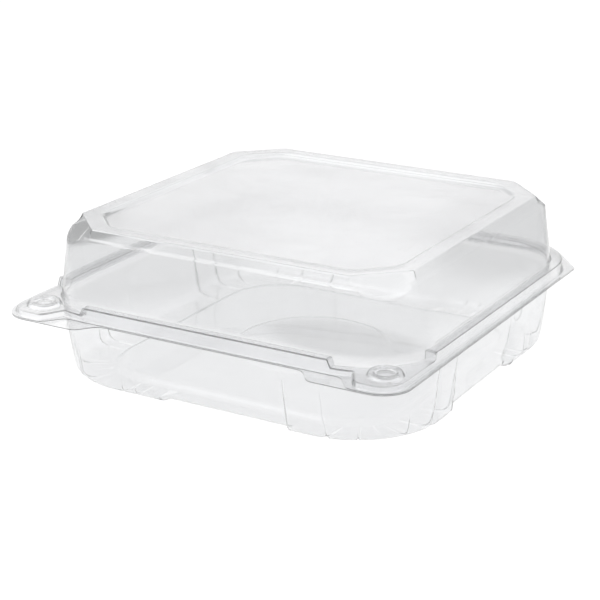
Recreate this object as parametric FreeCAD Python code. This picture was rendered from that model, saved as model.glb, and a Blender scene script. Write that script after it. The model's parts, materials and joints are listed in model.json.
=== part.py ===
"""Hinged clamshell pack thermoformed from one clear sheet: a deep tray, a domed lid and the living hinge between them.

Millimetres, +Z up. The tabs face -Y and the hinge is on the +Y side. The finished pieces are moved along Y, so that the
origin is under the middle of the whole pack, tabs and hinge included, in the plane that the tray stands on.
"""

import FreeCAD
import Part
import math
import os

Vector = FreeCAD.Vector

# Sheet and fits
SHEET = 0.5
NEST_GAP = 0.35
CONTACT_Z = 40.0

# Flange
FLANGE_HALF = 118.0
FLANGE_WIDTH = 1.9
FLANGE_EDGE_RADIUS = 4.0
HINGE_CUT_X = 18.0
HINGE_CUT_Y = 22.0

# Corner tabs
TAB_REACH = 10.8
TAB_CORNER_RADIUS = 16.0
TAB_BEND_RADIUS = 6.0
TAB_SLOPE = 8.5
LID_TAB_WIDTH = 35.5
TRAY_TAB_WIDTH = 57.0
TAB_RIM = 2.4
TAB_RIM_DRAFT = 0.5
TAB_RIM_HEIGHT = 3.0
TAB_RIM_SETBACK = 2.0

# Bead that stiffens the rim
BEAD_HEIGHT = 7.0
BEAD_DRAFT = 0.7
BEAD_CORNER_RADIUS = 42.0
BEAD_FRONT_GAP = 40.4
BEAD_SIDE_GAP = 33.4
BEAD_END_SLOPE = 2.0

# Snap buttons
BUTTON_FROM_SIDE = 15.7
BUTTON_FROM_FRONT = 19.0
BUTTON_RADIUS = 9.4
BUTTON_HEIGHT = 1.8
BUTTON_DRAFT = 1.2
BUTTON_WELL_RADIUS = 6.2
BUTTON_WELL_DEPTH = 1.2
BUTTON_WELL_DRAFT = 0.8

# Dome of the lid
DOME_HEIGHT = 45.3
LEDGE_WIDTH = 3.6
DOME_DRAFT = 8.7
DOME_SHOULDER_DROP = 5.9
DOME_STEP_WIDTH = 1.5
DOME_STEP_HEIGHT = 1.3
DOME_BEVEL_WIDTH = 1.6
DOME_FOOT_RADIUS = 43.0
DOME_SHOULDER_RADIUS = 25.5
DOME_TOP_RADIUS = 22.0
FACET_LEG = 23.4
FACET_BOTTOM_SPREAD = 8.9
FACET_BOTTOM_DROP = 11.4
TOP_RIM_WIDTH = 10.5
TOP_RECESS_DEPTH = 2.4
TOP_RECESS_DRAFT = 1.8
TOP_RECESS_RADIUS = 16.0

# Tray body
MOUTH_INSIDE_DOME = 2.6
TRAY_WAIST_BULGE = 1.4
TRAY_DRAFT = 1.0
TRAY_MOUTH_RADIUS = 41.0
TRAY_FOOT_RADIUS = 51.0
FOOT_ROUNDING = 6.0
FOOT_ROUNDING_STEPS = 3
FOOT_WIDTH = 19.6
FLOOR_RISE = 2.5
FLOOR_RADIUS = 36.0
FLOOR_SLOPE = 4.0
DISC_RADIUS = 42.0
DISC_RISE = 1.5
DISC_SLOPE = 3.0

# Wall panels between the foot lobes
PANEL_FROM_SIDE = 65.6
PANEL_DEPTH = 4.0
PANEL_TOP_DROP = 6.0
PANEL_SIDE_SLOPE = 3.0
PANEL_TOP_SHARE = 0.25  # share of the sheet that the panel is drawn back at its top, where it runs out
GROOVE_FROM_SIDE = 42.6
GROOVE_WIDTH = 3.0
GROOVE_DEPTH = 0.7
GROOVE_FOOT_WIDTH = 6.0
GROOVE_FOOT_DEPTH = 3.2
GROOVE_WALL_LEAN = 0.2  # how far the wall leans out between its foot and the narrow part of the groove

# Living hinge
HINGE_END_GAP = 4.0
HINGE_SHEET = 0.3
HINGE_BULGE = 1.4

# Straight chords that make each large rounded corner, and the radius from which a corner is large
CORNER_CHORDS = 10
LARGE_RADIUS = 20.0

# Distance past a face that a cutting shape runs
CLEAR = 5.0

# Sizes that follow from the ones above
TOP_Z = CONTACT_Z + DOME_HEIGHT
FRONT_REACH = FLANGE_HALF + TAB_REACH
LID_TAB_START = FLANGE_HALF - LID_TAB_WIDTH
TRAY_TAB_START = FLANGE_HALF - TRAY_TAB_WIDTH
TAB_RIM_START = LID_TAB_START + TAB_RIM_SETBACK
BEAD_FOOT_HALF = FLANGE_HALF - FLANGE_WIDTH
BEAD_TOP_HALF = BEAD_FOOT_HALF - BEAD_DRAFT
BEAD_FRONT_END = BEAD_TOP_HALF - BEAD_FRONT_GAP
BEAD_SIDE_END = BEAD_TOP_HALF - BEAD_SIDE_GAP
BUTTON_X = FLANGE_HALF - BUTTON_FROM_SIDE
BUTTON_Y = FRONT_REACH - BUTTON_FROM_FRONT
DOME_FOOT_HALF = BEAD_TOP_HALF - LEDGE_WIDTH
DOME_SHOULDER_HALF = DOME_FOOT_HALF - DOME_DRAFT
DOME_LEDGE_HALF = DOME_SHOULDER_HALF - DOME_STEP_WIDTH
DOME_TOP_HALF = DOME_LEDGE_HALF - DOME_BEVEL_WIDTH
DOME_SHOULDER_Z = DOME_HEIGHT - DOME_SHOULDER_DROP
DOME_LEDGE_Z = DOME_SHOULDER_Z + DOME_STEP_HEIGHT
TRAY_MOUTH_HALF = DOME_FOOT_HALF - MOUTH_INSIDE_DOME
TRAY_WAIST_HALF = TRAY_MOUTH_HALF + TRAY_WAIST_BULGE
TRAY_FOOT_HALF = TRAY_WAIST_HALF - TRAY_DRAFT
FLOOR_HALF = TRAY_FOOT_HALF - FOOT_WIDTH
PANEL_HALF_WIDTH = TRAY_FOOT_HALF - PANEL_FROM_SIDE
PANEL_TOP_Z = CONTACT_Z - PANEL_TOP_DROP
GROOVE_PLACE = TRAY_FOOT_HALF - GROOVE_FROM_SIDE
HINGE_HALF_LENGTH = FLANGE_HALF - HINGE_CUT_X - HINGE_END_GAP
ORIGIN_SHIFT = (FRONT_REACH - FLANGE_HALF - HINGE_BULGE) / 2


def inset(corners, distance):
    """Moves every edge of a counter-clockwise outline inwards and keeps its corner arcs concentric."""
    count = len(corners)
    lines = []
    for i in range(count):
        x0, y0 = corners[i][:2]
        x1, y1 = corners[(i + 1) % count][:2]
        length = math.hypot(x1 - x0, y1 - y0)
        ux, uy = (x1 - x0) / length, (y1 - y0) / length
        lines.append((x0 - uy * distance, y0 + ux * distance, ux, uy))
    moved = []
    for i in range(count):
        ax, ay, aux, auy = lines[i - 1]
        bx, by, bux, buy = lines[i]
        cross = aux * buy - auy * bux
        along = ((bx - ax) * buy - (by - ay) * bux) / cross
        radius = corners[i][2] - distance if cross > 0 else corners[i][2] + distance
        moved.append((ax + aux * along, ay + auy * along, max(radius, 0.0)))
    return moved


def outline(corners, z):
    """Closed wire of straight runs and tangent corner arcs at one height."""
    count = len(corners)
    ends = []
    for i in range(count):
        point = Vector(corners[i][0], corners[i][1], z)
        before = Vector(corners[i - 1][0], corners[i - 1][1], z) - point
        after = Vector(corners[(i + 1) % count][0], corners[(i + 1) % count][1], z) - point
        before.normalize()
        after.normalize()
        radius = corners[i][2]
        half_angle = before.getAngle(after) / 2
        reach = radius / math.tan(half_angle)
        bisector = before + after
        bisector.normalize()
        centre = point + bisector * (radius / math.sin(half_angle))
        ends.append((point + before * reach, point + after * reach, centre, radius, -bisector))
    edges = []
    for i in range(count):
        start, end, centre, radius, outward = ends[i]
        if radius > LARGE_RADIUS:
            edges += corner_chords(start, end, centre)
        elif radius > 0:
            edges.append(Part.Arc(start, centre + outward * radius, end).toShape())
        edges.append(Part.makeLine(end, ends[(i + 1) % count][0]))
    return Part.Wire(edges)


def corner_chords(start, end, centre):
    """Equal straight chords along the arc from start to end."""
    first = start - centre
    last = end - centre
    angle = first.getAngle(last)
    points = []
    for i in range(CORNER_CHORDS + 1):
        share = i / CORNER_CHORDS
        blend = first * math.sin((1 - share) * angle) + last * math.sin(share * angle)
        points.append(centre + blend * (1 / math.sin(angle)))
    return [Part.makeLine(points[i], points[i + 1]) for i in range(CORNER_CHORDS)]


def loft(sections):
    """Solid through outlines at rising heights."""
    return Part.makeLoft([outline(corners, z) for corners, z in sections], True, True)


def square(half, radius):
    return [(-half, -half, radius), (half, -half, radius), (half, half, radius), (-half, half, radius)]


def octagon(half, leg, radius):
    """Square with its corners cut off straight."""
    near = half - leg
    points = [(-near, -half), (near, -half), (half, -near), (half, near)]
    points += [(near, half), (-near, half), (-half, near), (-half, -near)]
    return [(x, y, radius) for x, y in points]


def mirrored(shape):
    """The shape and its twin across the middle plane."""
    return [shape, shape.mirror(Vector(0, 0, 0), Vector(1, 0, 0))]


def four_times(shape):
    """The shape on each of the four sides."""
    return [rotated(shape, turn * 90.0) for turn in range(4)]


def rotated(shape, angle):
    turned = shape.copy()
    turned.rotate(Vector(0, 0, 0), Vector(0, 0, 1), angle)
    return turned


def flange_outline(tab_start):
    """Outer edge of a flange with its two front tabs and its cut corners beside the hinge."""
    side = FLANGE_HALF
    front = -FRONT_REACH
    right = [
        (tab_start, -FLANGE_HALF, TAB_BEND_RADIUS),
        (tab_start + TAB_SLOPE, front, TAB_BEND_RADIUS),
        (side, front, TAB_CORNER_RADIUS),
        (side, FLANGE_HALF - HINGE_CUT_Y, FLANGE_EDGE_RADIUS),
        (side - HINGE_CUT_X, FLANGE_HALF, FLANGE_EDGE_RADIUS),
    ]
    return right + [(-x, y, radius) for x, y, radius in reversed(right)]


def tab_platform(offset, floor_z):
    """Raised area of one front tab, inside its edge."""
    front = -FRONT_REACH + TAB_RIM
    side = FLANGE_HALF - TAB_RIM
    inner = BEAD_SIDE_END - BEAD_CORNER_RADIUS / 2
    corners = [
        (inner, -inner, 0.0),
        (inner, -BEAD_TOP_HALF + 2 * TAB_RIM, 0.0),
        (TAB_RIM_START, -BEAD_TOP_HALF + 2 * TAB_RIM, TAB_BEND_RADIUS),
        (TAB_RIM_START + TAB_SLOPE, front, TAB_BEND_RADIUS),
        (side, front, TAB_CORNER_RADIUS - TAB_RIM),
        (side, -inner, 0.0),
    ]
    top_z = CONTACT_Z + TAB_RIM_HEIGHT - offset
    return loft([(inset(corners, offset), floor_z), (inset(corners, offset + TAB_RIM_DRAFT), top_z)])


def button(offset):
    """Raised snap button of one tab, with a dish in its middle."""
    base_z = CONTACT_Z + TAB_RIM_HEIGHT - offset
    centre = Vector(BUTTON_X, -BUTTON_Y, base_z - SHEET)
    outer = BUTTON_RADIUS - offset
    ring = Part.makeCone(outer, outer - BUTTON_DRAFT, BUTTON_HEIGHT + SHEET, centre)
    well_floor = Vector(BUTTON_X, -BUTTON_Y, base_z + BUTTON_HEIGHT - BUTTON_WELL_DEPTH)
    well = BUTTON_WELL_RADIUS + offset
    dish = Part.makeCone(well - BUTTON_WELL_DRAFT, well, BUTTON_WELL_DEPTH + SHEET, well_floor)
    return ring.cut(dish)


def rim_form(offset, floor_z):
    """Block under the bead, the tab platforms and the buttons: the tool's shape, shrunk by the offset."""
    foot = square(BEAD_FOOT_HALF - offset, BEAD_CORNER_RADIUS - offset)
    top = square(BEAD_TOP_HALF - offset, BEAD_CORNER_RADIUS - offset)
    top_z = CONTACT_Z + BEAD_HEIGHT - offset
    bead = loft([(foot, floor_z), (top, top_z)])
    low_z = CONTACT_Z + TAB_RIM_HEIGHT - offset
    far = FLANGE_HALF + CLEAR
    steps = []
    for z, slope in ((low_z, 0.0), (top_z + CLEAR, BEAD_END_SLOPE)):
        start_x = BEAD_FRONT_END - offset - slope
        start_y = -BEAD_SIDE_END + offset + slope
        steps.append(([(start_x, -far, 0.0), (far, -far, 0.0), (far, start_y, 0.0), (start_x, start_y, 0.0)], z))
    for corner in mirrored(loft(steps)):
        bead = bead.cut(corner)
    tabs = []
    for shape in (tab_platform(offset, floor_z), button(offset)):
        tabs += mirrored(shape)
    return bead.multiFuse(tabs)


def facet_cutters(offset):
    """Slanted planes that cut the four upper corners of the dome."""
    top_across = (2 * DOME_TOP_HALF - FACET_LEG) / math.sqrt(2)
    run = FACET_BOTTOM_SPREAD * math.sqrt(2)
    slope_length = math.hypot(run, FACET_BOTTOM_DROP)
    shift_across = -offset * FACET_BOTTOM_DROP / slope_length
    shift_z = -offset * run / slope_length
    low = Vector(top_across + shift_across + 2 * run, -DOME_TOP_HALF, TOP_Z + shift_z - 2 * FACET_BOTTOM_DROP)
    high = Vector(top_across + shift_across - run, -DOME_TOP_HALF, TOP_Z + shift_z + FACET_BOTTOM_DROP)
    outer = Vector(low.x, -DOME_TOP_HALF, high.z)
    face = Part.Face(Part.makePolygon([low, outer, high, low]))
    return four_times(rotated(face.extrude(Vector(0, 2 * DOME_TOP_HALF, 0)), 45.0))


def dome_form(offset, floor_z):
    """Block under the dome, shrunk by the offset, with its stepped shoulder, cut corners and recessed top."""
    taper = (DOME_SHOULDER_HALF - DOME_FOOT_HALF) / DOME_SHOULDER_Z
    rounding = (DOME_SHOULDER_RADIUS - DOME_FOOT_RADIUS) / DOME_SHOULDER_Z
    above = floor_z - CONTACT_Z
    profile = [
        (DOME_FOOT_HALF + taper * above, above, DOME_FOOT_RADIUS + rounding * above),
        (DOME_SHOULDER_HALF, DOME_SHOULDER_Z, DOME_SHOULDER_RADIUS),
        (DOME_LEDGE_HALF, DOME_LEDGE_Z, DOME_SHOULDER_RADIUS),
        (DOME_TOP_HALF, DOME_HEIGHT, DOME_TOP_RADIUS),
    ]
    levels = []
    for half, height, radius in profile:
        drop = offset * max(height, 0.0) / DOME_HEIGHT
        levels.append((square(half - offset, radius - offset), CONTACT_Z + height - drop))
    block = loft(levels)
    for cutter in facet_cutters(offset):
        block = block.cut(cutter)
    rim = octagon(DOME_TOP_HALF, FACET_LEG, TOP_RECESS_RADIUS + TOP_RIM_WIDTH)
    upper = inset(rim, TOP_RIM_WIDTH - TOP_RECESS_DRAFT - offset)
    lower = inset(rim, TOP_RIM_WIDTH + TOP_RECESS_DRAFT - offset)
    recess = loft([(lower, TOP_Z - TOP_RECESS_DEPTH - offset), (upper, TOP_Z + TOP_RECESS_DEPTH - offset)])
    return block.cut(recess)


def flange_plate(tab_start, low_z):
    corners = flange_outline(tab_start)
    return Part.Face(outline(corners, low_z)).extrude(Vector(0, 0, SHEET))


def make_lid():
    """Domed lid, with its bead, flange and tabs at one sheet thickness."""
    low_z = CONTACT_Z + NEST_GAP / 2
    outside = rim_form(0.0, low_z).fuse(dome_form(0.0, low_z)).fuse(flange_plate(LID_TAB_START, low_z))
    below_z = low_z - CLEAR
    inside = rim_form(SHEET, below_z).fuse(dome_form(SHEET, below_z))
    return outside.cut(inside)


def tray_sections(offset):
    """Outlines of the tray body from its rounded foot to its mouth."""
    sections = []
    for step in range(FOOT_ROUNDING_STEPS + 1):
        angle = math.radians(90.0 * step / FOOT_ROUNDING_STEPS)
        rounding = FOOT_ROUNDING - offset
        half = TRAY_FOOT_HALF - FOOT_ROUNDING + rounding * math.sin(angle)
        corner = TRAY_FOOT_RADIUS - FOOT_ROUNDING + rounding * math.sin(angle)
        z = FOOT_ROUNDING - rounding * math.cos(angle)
        sections.append((square(half, corner), z))
    waist = square(TRAY_WAIST_HALF - offset, TRAY_MOUTH_RADIUS - offset)
    sections.append((waist, CONTACT_Z - SHEET))
    mouth = square(TRAY_MOUTH_HALF - offset, TRAY_MOUTH_RADIUS - offset)
    sections.append((mouth, CONTACT_Z + BEAD_HEIGHT))
    return sections


def wall_panel(offset):
    """Wedge taken out of the front wall between its lobes, deepest at the foot."""
    half = PANEL_HALF_WIDTH + offset
    face_y = -TRAY_WAIST_HALF - CLEAR
    low_y = -TRAY_FOOT_HALF + PANEL_DEPTH + offset
    high_y = -TRAY_WAIST_HALF + PANEL_TOP_SHARE * offset
    inner_half = half - PANEL_SIDE_SLOPE
    levels = []
    for z, y in ((-CLEAR, low_y), (PANEL_TOP_Z, high_y)):
        levels.append(([(-half, face_y, 0.0), (half, face_y, 0.0), (inner_half, y, 0.0), (-inner_half, y, 0.0)], z))
    return loft(levels)


def wall_groove(offset):
    """Narrow groove that runs down the front wall and opens into a notch at the foot."""
    levels = []
    mouth_z = CONTACT_Z - CLEAR
    tops = ((-CLEAR, GROOVE_FOOT_WIDTH, GROOVE_FOOT_DEPTH, TRAY_FOOT_HALF),)
    tops += ((2 * FOOT_ROUNDING, GROOVE_WIDTH, GROOVE_DEPTH, TRAY_FOOT_HALF + GROOVE_WALL_LEAN),)
    tops += ((mouth_z, GROOVE_WIDTH, 0.0, TRAY_WAIST_HALF),)
    for z, width, depth, wall in tops:
        half = width / 2 + offset
        face_y = -wall - CLEAR
        low_x = GROOVE_PLACE - half
        high_x = GROOVE_PLACE + half
        levels.append(([(low_x, face_y, 0.0), (high_x, face_y, 0.0), (GROOVE_PLACE, -wall + depth + offset, 0.0)], z))
    return loft(levels)


def floor_form(offset):
    """Raised floor inside the foot ring, with a round raised middle."""
    low = square(FLOOR_HALF + offset, FLOOR_RADIUS + offset)
    high = square(FLOOR_HALF - FLOOR_SLOPE + offset, FLOOR_RADIUS - FLOOR_SLOPE + offset)
    field = loft([(low, -CLEAR), (low, 0.0), (high, FLOOR_RISE + offset)])
    base = Vector(0, 0, FLOOR_RISE - SHEET)
    disc_radius = DISC_RADIUS + offset
    disc = Part.makeCone(disc_radius + DISC_SLOPE, disc_radius, DISC_RISE + SHEET + offset, base)
    return field.fuse(disc)


def tray_form(offset):
    """Block of the tray body, shrunk by the offset, with its panels, grooves and raised floor taken out."""
    body = loft(tray_sections(offset))
    cutters = four_times(wall_panel(offset))
    for groove in mirrored(wall_groove(offset)):
        cutters += four_times(groove)
    cutters.append(floor_form(offset))
    for cutter in cutters:
        body = body.cut(cutter)
    return body


def make_tray():
    """Deep tray, with the bead, flange and tabs that the lid's own rim sits over."""
    shell = SHEET + NEST_GAP
    high_z = CONTACT_Z - NEST_GAP / 2
    rim_floor = high_z - SHEET
    rim = rim_form(shell, rim_floor)
    flange = flange_plate(TRAY_TAB_START, rim_floor)
    ceiling = Part.makeBox(
        4 * FLANGE_HALF,
        4 * FLANGE_HALF,
        CLEAR * 4,
        Vector(-2 * FLANGE_HALF, -2 * FLANGE_HALF, CONTACT_Z + BEAD_HEIGHT - shell),
    )
    body = tray_form(0.0).cut(ceiling)
    hollow = rim_form(shell + SHEET, rim_floor - CLEAR).cut(body)
    return rim.fuse(flange).fuse(body).cut(hollow).cut(tray_form(SHEET))


def make_hinge():
    """Thin strip of the same sheet that bulges out behind the two flanges and joins them."""
    edge = FLANGE_HALF
    reach = (NEST_GAP + 2 * SHEET) / 2
    outer = []
    for y, z in ((edge, CONTACT_Z - reach), (edge + HINGE_BULGE, CONTACT_Z), (edge, CONTACT_Z + reach)):
        outer.append(Vector(-HINGE_HALF_LENGTH, y, z))
    inner_reach = reach - HINGE_SHEET
    inner_bulge = edge + HINGE_BULGE - HINGE_SHEET
    inner = []
    for y, z in ((edge, CONTACT_Z + inner_reach), (inner_bulge, CONTACT_Z), (edge, CONTACT_Z - inner_reach)):
        inner.append(Vector(-HINGE_HALF_LENGTH, y, z))
    edges = [Part.Arc(*outer).toShape(), Part.makeLine(outer[2], inner[0])]
    edges += [Part.Arc(*inner).toShape(), Part.makeLine(inner[2], outer[0])]
    return Part.Face(Part.Wire(edges)).extrude(Vector(2 * HINGE_HALF_LENGTH, 0, 0))


def main():
    os.makedirs("parts", exist_ok=True)
    pieces = {"base_tray": make_tray(), "lid": make_lid(), "living_hinge": make_hinge()}
    for name, shape in pieces.items():
        solid = shape.removeSplitter()
        solid.translate(Vector(0, ORIGIN_SHIFT, 0))
        print(name, solid.isValid(), len(solid.Solids), round(solid.Volume, 1))
        solid.exportStep("parts/" + name + ".step")


main()
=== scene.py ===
"""Clear hinged clamshell pack: a tray, a domed lid and the living hinge, in one thermoformed sheet.

The pack is drawn in millimetres about its own middle, then scaled to metres and put in the shared frame.
The studio is in metres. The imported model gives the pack's place and its outer sizes.
"""

import json
import math

import bmesh
import bpy
from bpy.props import FloatProperty, FloatVectorProperty, PointerProperty
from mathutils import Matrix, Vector


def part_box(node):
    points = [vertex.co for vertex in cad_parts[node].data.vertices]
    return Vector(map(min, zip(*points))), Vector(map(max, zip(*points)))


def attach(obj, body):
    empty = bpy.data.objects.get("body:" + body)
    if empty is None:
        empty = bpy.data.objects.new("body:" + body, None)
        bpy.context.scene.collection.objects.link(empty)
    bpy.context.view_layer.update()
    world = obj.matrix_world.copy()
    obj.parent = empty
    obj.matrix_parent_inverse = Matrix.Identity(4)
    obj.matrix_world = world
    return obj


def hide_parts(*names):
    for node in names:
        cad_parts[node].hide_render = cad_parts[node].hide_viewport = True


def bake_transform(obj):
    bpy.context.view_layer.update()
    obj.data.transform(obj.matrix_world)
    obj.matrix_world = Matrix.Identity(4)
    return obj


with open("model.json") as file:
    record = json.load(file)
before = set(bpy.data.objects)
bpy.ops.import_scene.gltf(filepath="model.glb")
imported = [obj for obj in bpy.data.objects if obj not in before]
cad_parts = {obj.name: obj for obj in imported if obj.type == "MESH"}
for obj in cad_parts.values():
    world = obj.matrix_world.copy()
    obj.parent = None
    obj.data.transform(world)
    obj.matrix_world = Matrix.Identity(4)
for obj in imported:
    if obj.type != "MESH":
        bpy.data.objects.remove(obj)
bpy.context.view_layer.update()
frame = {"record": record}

bl_info = {
    "name": "Clear clamshell pack",
    "version": (1, 0, 0),
    "blender": (4, 5, 0),
    "location": "3D View > Sidebar > Clamshell",
    "description": "Builds a clear thermoformed clamshell pack around its packed model",
    "category": "Object",
}

MM = 0.001

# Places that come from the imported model
LID_LOW, LID_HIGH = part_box("lid")
TRAY_LOW, TRAY_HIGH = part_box("base_tray")
HINGE_LOW, HINGE_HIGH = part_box("living_hinge")
FLANGE_HALF = LID_HIGH[0] / MM
FRONT_REACH_Y = LID_LOW[1] / MM
BACK_EDGE_Y = LID_HIGH[1] / MM
PACK_Y = BACK_EDGE_Y - FLANGE_HALF
TOP_Z = LID_HIGH[2] / MM
LID_FLANGE_Z = LID_LOW[2] / MM
CONTACT_Z = frame["record"]["behaviour"]["joints"][0]["pos_m"][2] / MM
TRAY_FLANGE_Z = CONTACT_Z - (LID_FLANGE_Z - CONTACT_Z)

# Rim of the pack
TAB_REACH = PACK_Y - FLANGE_HALF - FRONT_REACH_Y
FLANGE_WIDTH = 1.9
BEAD_DRAFT = 0.7
BEAD_HALF = FLANGE_HALF - FLANGE_WIDTH - BEAD_DRAFT
BEAD_HEIGHT = 7.0
BEAD_RADIUS = 42.0
BEAD_FRONT_END = 75.0
BEAD_SIDE_END = 82.0
BEAD_END_SLOPE = 2.0
HINGE_CUT_X = 18.0
HINGE_CUT_Y = 22.0
FLANGE_EDGE_RADIUS = 4.0
TAB_CORNER_RADIUS = 16.0
TAB_BEND_RADIUS = 6.0
TAB_SLOPE = 8.5
LID_TAB_START = FLANGE_HALF - 35.5
TRAY_TAB_START = FLANGE_HALF - 57.0
PLATFORM_MARGIN = 2.4
PLATFORM_HEIGHT = 3.0
PLATFORM_START = LID_TAB_START + 2.0
PLATFORM_DRAFT = 0.5

# Snap buttons
BUTTON_X = FLANGE_HALF - 15.7
BUTTON_Y = FLANGE_HALF + TAB_REACH - 19.0
BUTTON_RADIUS = 9.4
BUTTON_HEIGHT = 1.8
BUTTON_WALL = 1.3
BUTTON_DISH_RADIUS = 6.2
BUTTON_DISH_DEPTH = 1.2
BUTTON_CROWN = 0.9
BUTTON_REFINE_MARGINS = (2.0, 1.0)
LEVEL_TOLERANCE = 0.05

# Dome
DOME_FOOT_HALF = BEAD_HALF - 3.6
DOME_SHOULDER_HALF = DOME_FOOT_HALF - 8.7
DOME_SHOULDER_Z = TOP_Z - 5.9
DOME_STEP_HALF = DOME_SHOULDER_HALF - 1.5
DOME_STEP_Z = DOME_SHOULDER_Z + 1.3
DOME_TOP_HALF = DOME_STEP_HALF - 1.6
DOME_FOOT_RADIUS = 43.0
DOME_SHOULDER_RADIUS = 25.5
FACET_LEG = 23.4
FACET_SPREAD = 8.9
FACET_DROP = 11.4
RIM_WIDTH = 10.5
RECESS_DEPTH = 2.4
RECESS_DRAFT = 1.8
RECESS_RADIUS = 16.0
FACET_WALL_STEPS = 6
FACET_FOOT_GAP = 1.0
FOOT_WALL_SHARES = (0.3, 0.6, 0.85)
LID_TOP_SOFTNESS = [0.0, 1.0, 1.0, 1.0, 0.7, 0.7]
LID_FOOT_SOFTNESS = 1.3
LID_RIM_SOFTNESS = [1.2, 0.7, 0.0]

# Tray
SHELL_GAP = 0.85
TRAY_MOUTH_HALF = DOME_FOOT_HALF - 2.6
TRAY_WAIST_HALF = TRAY_MOUTH_HALF + 1.4
TRAY_FOOT_HALF = TRAY_WAIST_HALF - 1.0
TRAY_MOUTH_RADIUS = 41.0
TRAY_FOOT_RADIUS = 51.0
FLOOR_HALF = TRAY_FOOT_HALF - 19.6
FLOOR_RADIUS = 36.0
FLOOR_SLOPE = 4.0
FLOOR_RISE = 2.5
DISC_RADIUS = 42.0
DISC_RISE = 1.5
DISC_SLOPE = 3.0
PANEL_FROM = -26.0
PANEL_TO = 43.5
PANEL_SPREAD = 3.0
PANEL_DEPTH = 4.0
PANEL_TOP_Z = 34.0
GROOVE_PLACE = 66.0
GROOVE_LEAN = 3.0
GROOVE_WIDTH = 1.6
GROOVE_DEPTH = 1.3
PANEL_LINE_DEPTH = 0.9
PANEL_LINE_WIDTH = 1.3
GROOVE_FOOT_DEPTH = 3.0
SHORT_GROOVES = (-46.0, -54.5)
SHORT_GROOVE_DEPTH = 1.6
SHORT_GROOVE_TOP_Z = 14.0
CORNER_NOTCH_ANGLE = 23.0
CORNER_NOTCH_WIDTH = 1.6
CORNER_NOTCH_DEPTH = 2.0
PANEL_END_RAMP = 2.4
LINE_FADE = 4
GROOVE_FOOT_POWER = 4
FOOT_LIFT = 0.45
FOOT_LIFT_FROM = 0.9
TRAY_WALL_HEIGHTS = (12.0, 17.0, 22.0, 27.0, 32.0, 36.0)
TRAY_FLOOR_SOFTNESS = [0.0, 1.5, 1.5, 6.5]
TRAY_MOUTH_SOFTNESS = 1.0
TRAY_RIM_SOFTNESS = [1.0, 0.6, 0.0]
DISC_SEGMENTS = 128
DISC_LEVELS = (
    (DISC_RADIUS + DISC_SLOPE + 1.0, 0.0),
    (DISC_RADIUS + DISC_SLOPE, 0.1),
    (DISC_RADIUS + DISC_SLOPE * 0.8, 0.35),
    (DISC_RADIUS + DISC_SLOPE * 0.2, 1.15),
    (DISC_RADIUS, 1.4),
    (DISC_RADIUS - 1.0, DISC_RISE),
)

# Hinge strip
HINGE_FILM = 0.3
HINGE_ARC_STEPS = 16
HINGE_LENGTH_STEPS = 48
HINGE_HAZE_FACTOR = 2.5

# Rays that lay out every ring, angles in degrees
PIVOT = 70.0
ARC_STEP = 2.5
SIDE_SHIFTS = (-1.8, -0.9, 0.0, 0.9, 1.8)
SIDE_STEP = 5.0
CORNER_STEP = 1.5
FINE_STEP = 0.75
FINE_FROM = 10.5
FINE_TO = 25.5
FILLET_STEPS = 4
FILLET_SHARE = 0.45
LANE_COUNT = 9
CREASE_ANGLE = 50.0

# Look of the sheet, heights in millimetres
PLASTIC_IOR = 1.52
THROUGH_SHADE = 0.97
WAVE_DETAIL = 2.0
WAVE_DISTANCE = 0.002
HAZE_SCALE = 35.0
HAZE_DETAIL = 4.0
HAZE_SPREAD = (0.35, 0.65)
HAZE_LOW_SHARE = 0.4
FLAT_FACING = 0.95
TOP_MARGIN = 1.0
TOP_SOFT = 0.4
RIM_SOFT = 1.5
TOP_HAZE = 0.13
# Paler tint on the top panel's flat faces: painted light that makes the top panel lighter; TOP_HAZE is its
# extra roughness
TOP_PAINTED_LIGHT_TINT = (0.975, 0.975, 0.985)
RIM_HAZE = 0.12
# Band round the bead and flange, with extra haze and a paler tint; the paler tint is painted light that
# lightens the dark lines along the bead's edges
RIM_BAND_LOW = 38.5
RIM_BAND_HIGH = 48.0
RIM_PAINTED_LIGHT_TINT = (0.965, 0.967, 0.972)

# Studio as the pack's reflections show it, in metres
FLOOR_SIZE = 12.0
TABLE_LIT_TO = 0.30
TABLE_DARK_FROM = 0.55
TABLE_DARK = 0.22
FLOOR_GLOW = 0.57
SURROUND_LIGHT = 0.55
ROOM_SHADE = 0.2
# Oval patches of painted shade on the floor, seen only through the plastic: under the tray's floor, beside
# the lid, and beside and behind the pack
SHADE_SPOTS = (
    ("under_floor", (0.0085, 0.0275), (0.054, 0.028), 0.17),
    ("beside_lid", (-0.2562, 0.1275), (0.035, 0.045), 0.55),
    ("beside_pack", (-0.22, 0.1), (0.125, 0.14), 0.14),
    ("behind_pack", (0.025, 0.31), (0.085, 0.16), 0.19),
)
SPOT_EDGE = (0.7, 1.12)
CEILING_SHADE = 0.95
CEILING_RISE = (0.3, 0.65)
LAMPS = (
    ("key_lamp", (-0.9, -0.6, 1.4), 1.2, 1.0),
    ("fill_lamp", (1.1, 0.3, 1.2), 1.2, 0.6),
)
CARDS = (
    ("back_card", (-0.8, 1.39, 0.68), 1.5, 1.2, 1.0),
    ("top_card", (0.0, 0.0, 1.6), 0.9, 0.9, 1.5),
)
CARD_AIM = (0.0, 0.0, 0.05)

# Camera, from the photograph
CAMERA_AZIMUTH = 30.04
CAMERA_ELEVATION = 19.37
CAMERA_DISTANCE_MM = 945.0
CAMERA_LENS = 101.04
CAMERA_SENSOR = 36.0
TARGET_ACROSS_MM = -7.17
TARGET_Z_MM = CONTACT_Z - 10.71


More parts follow.
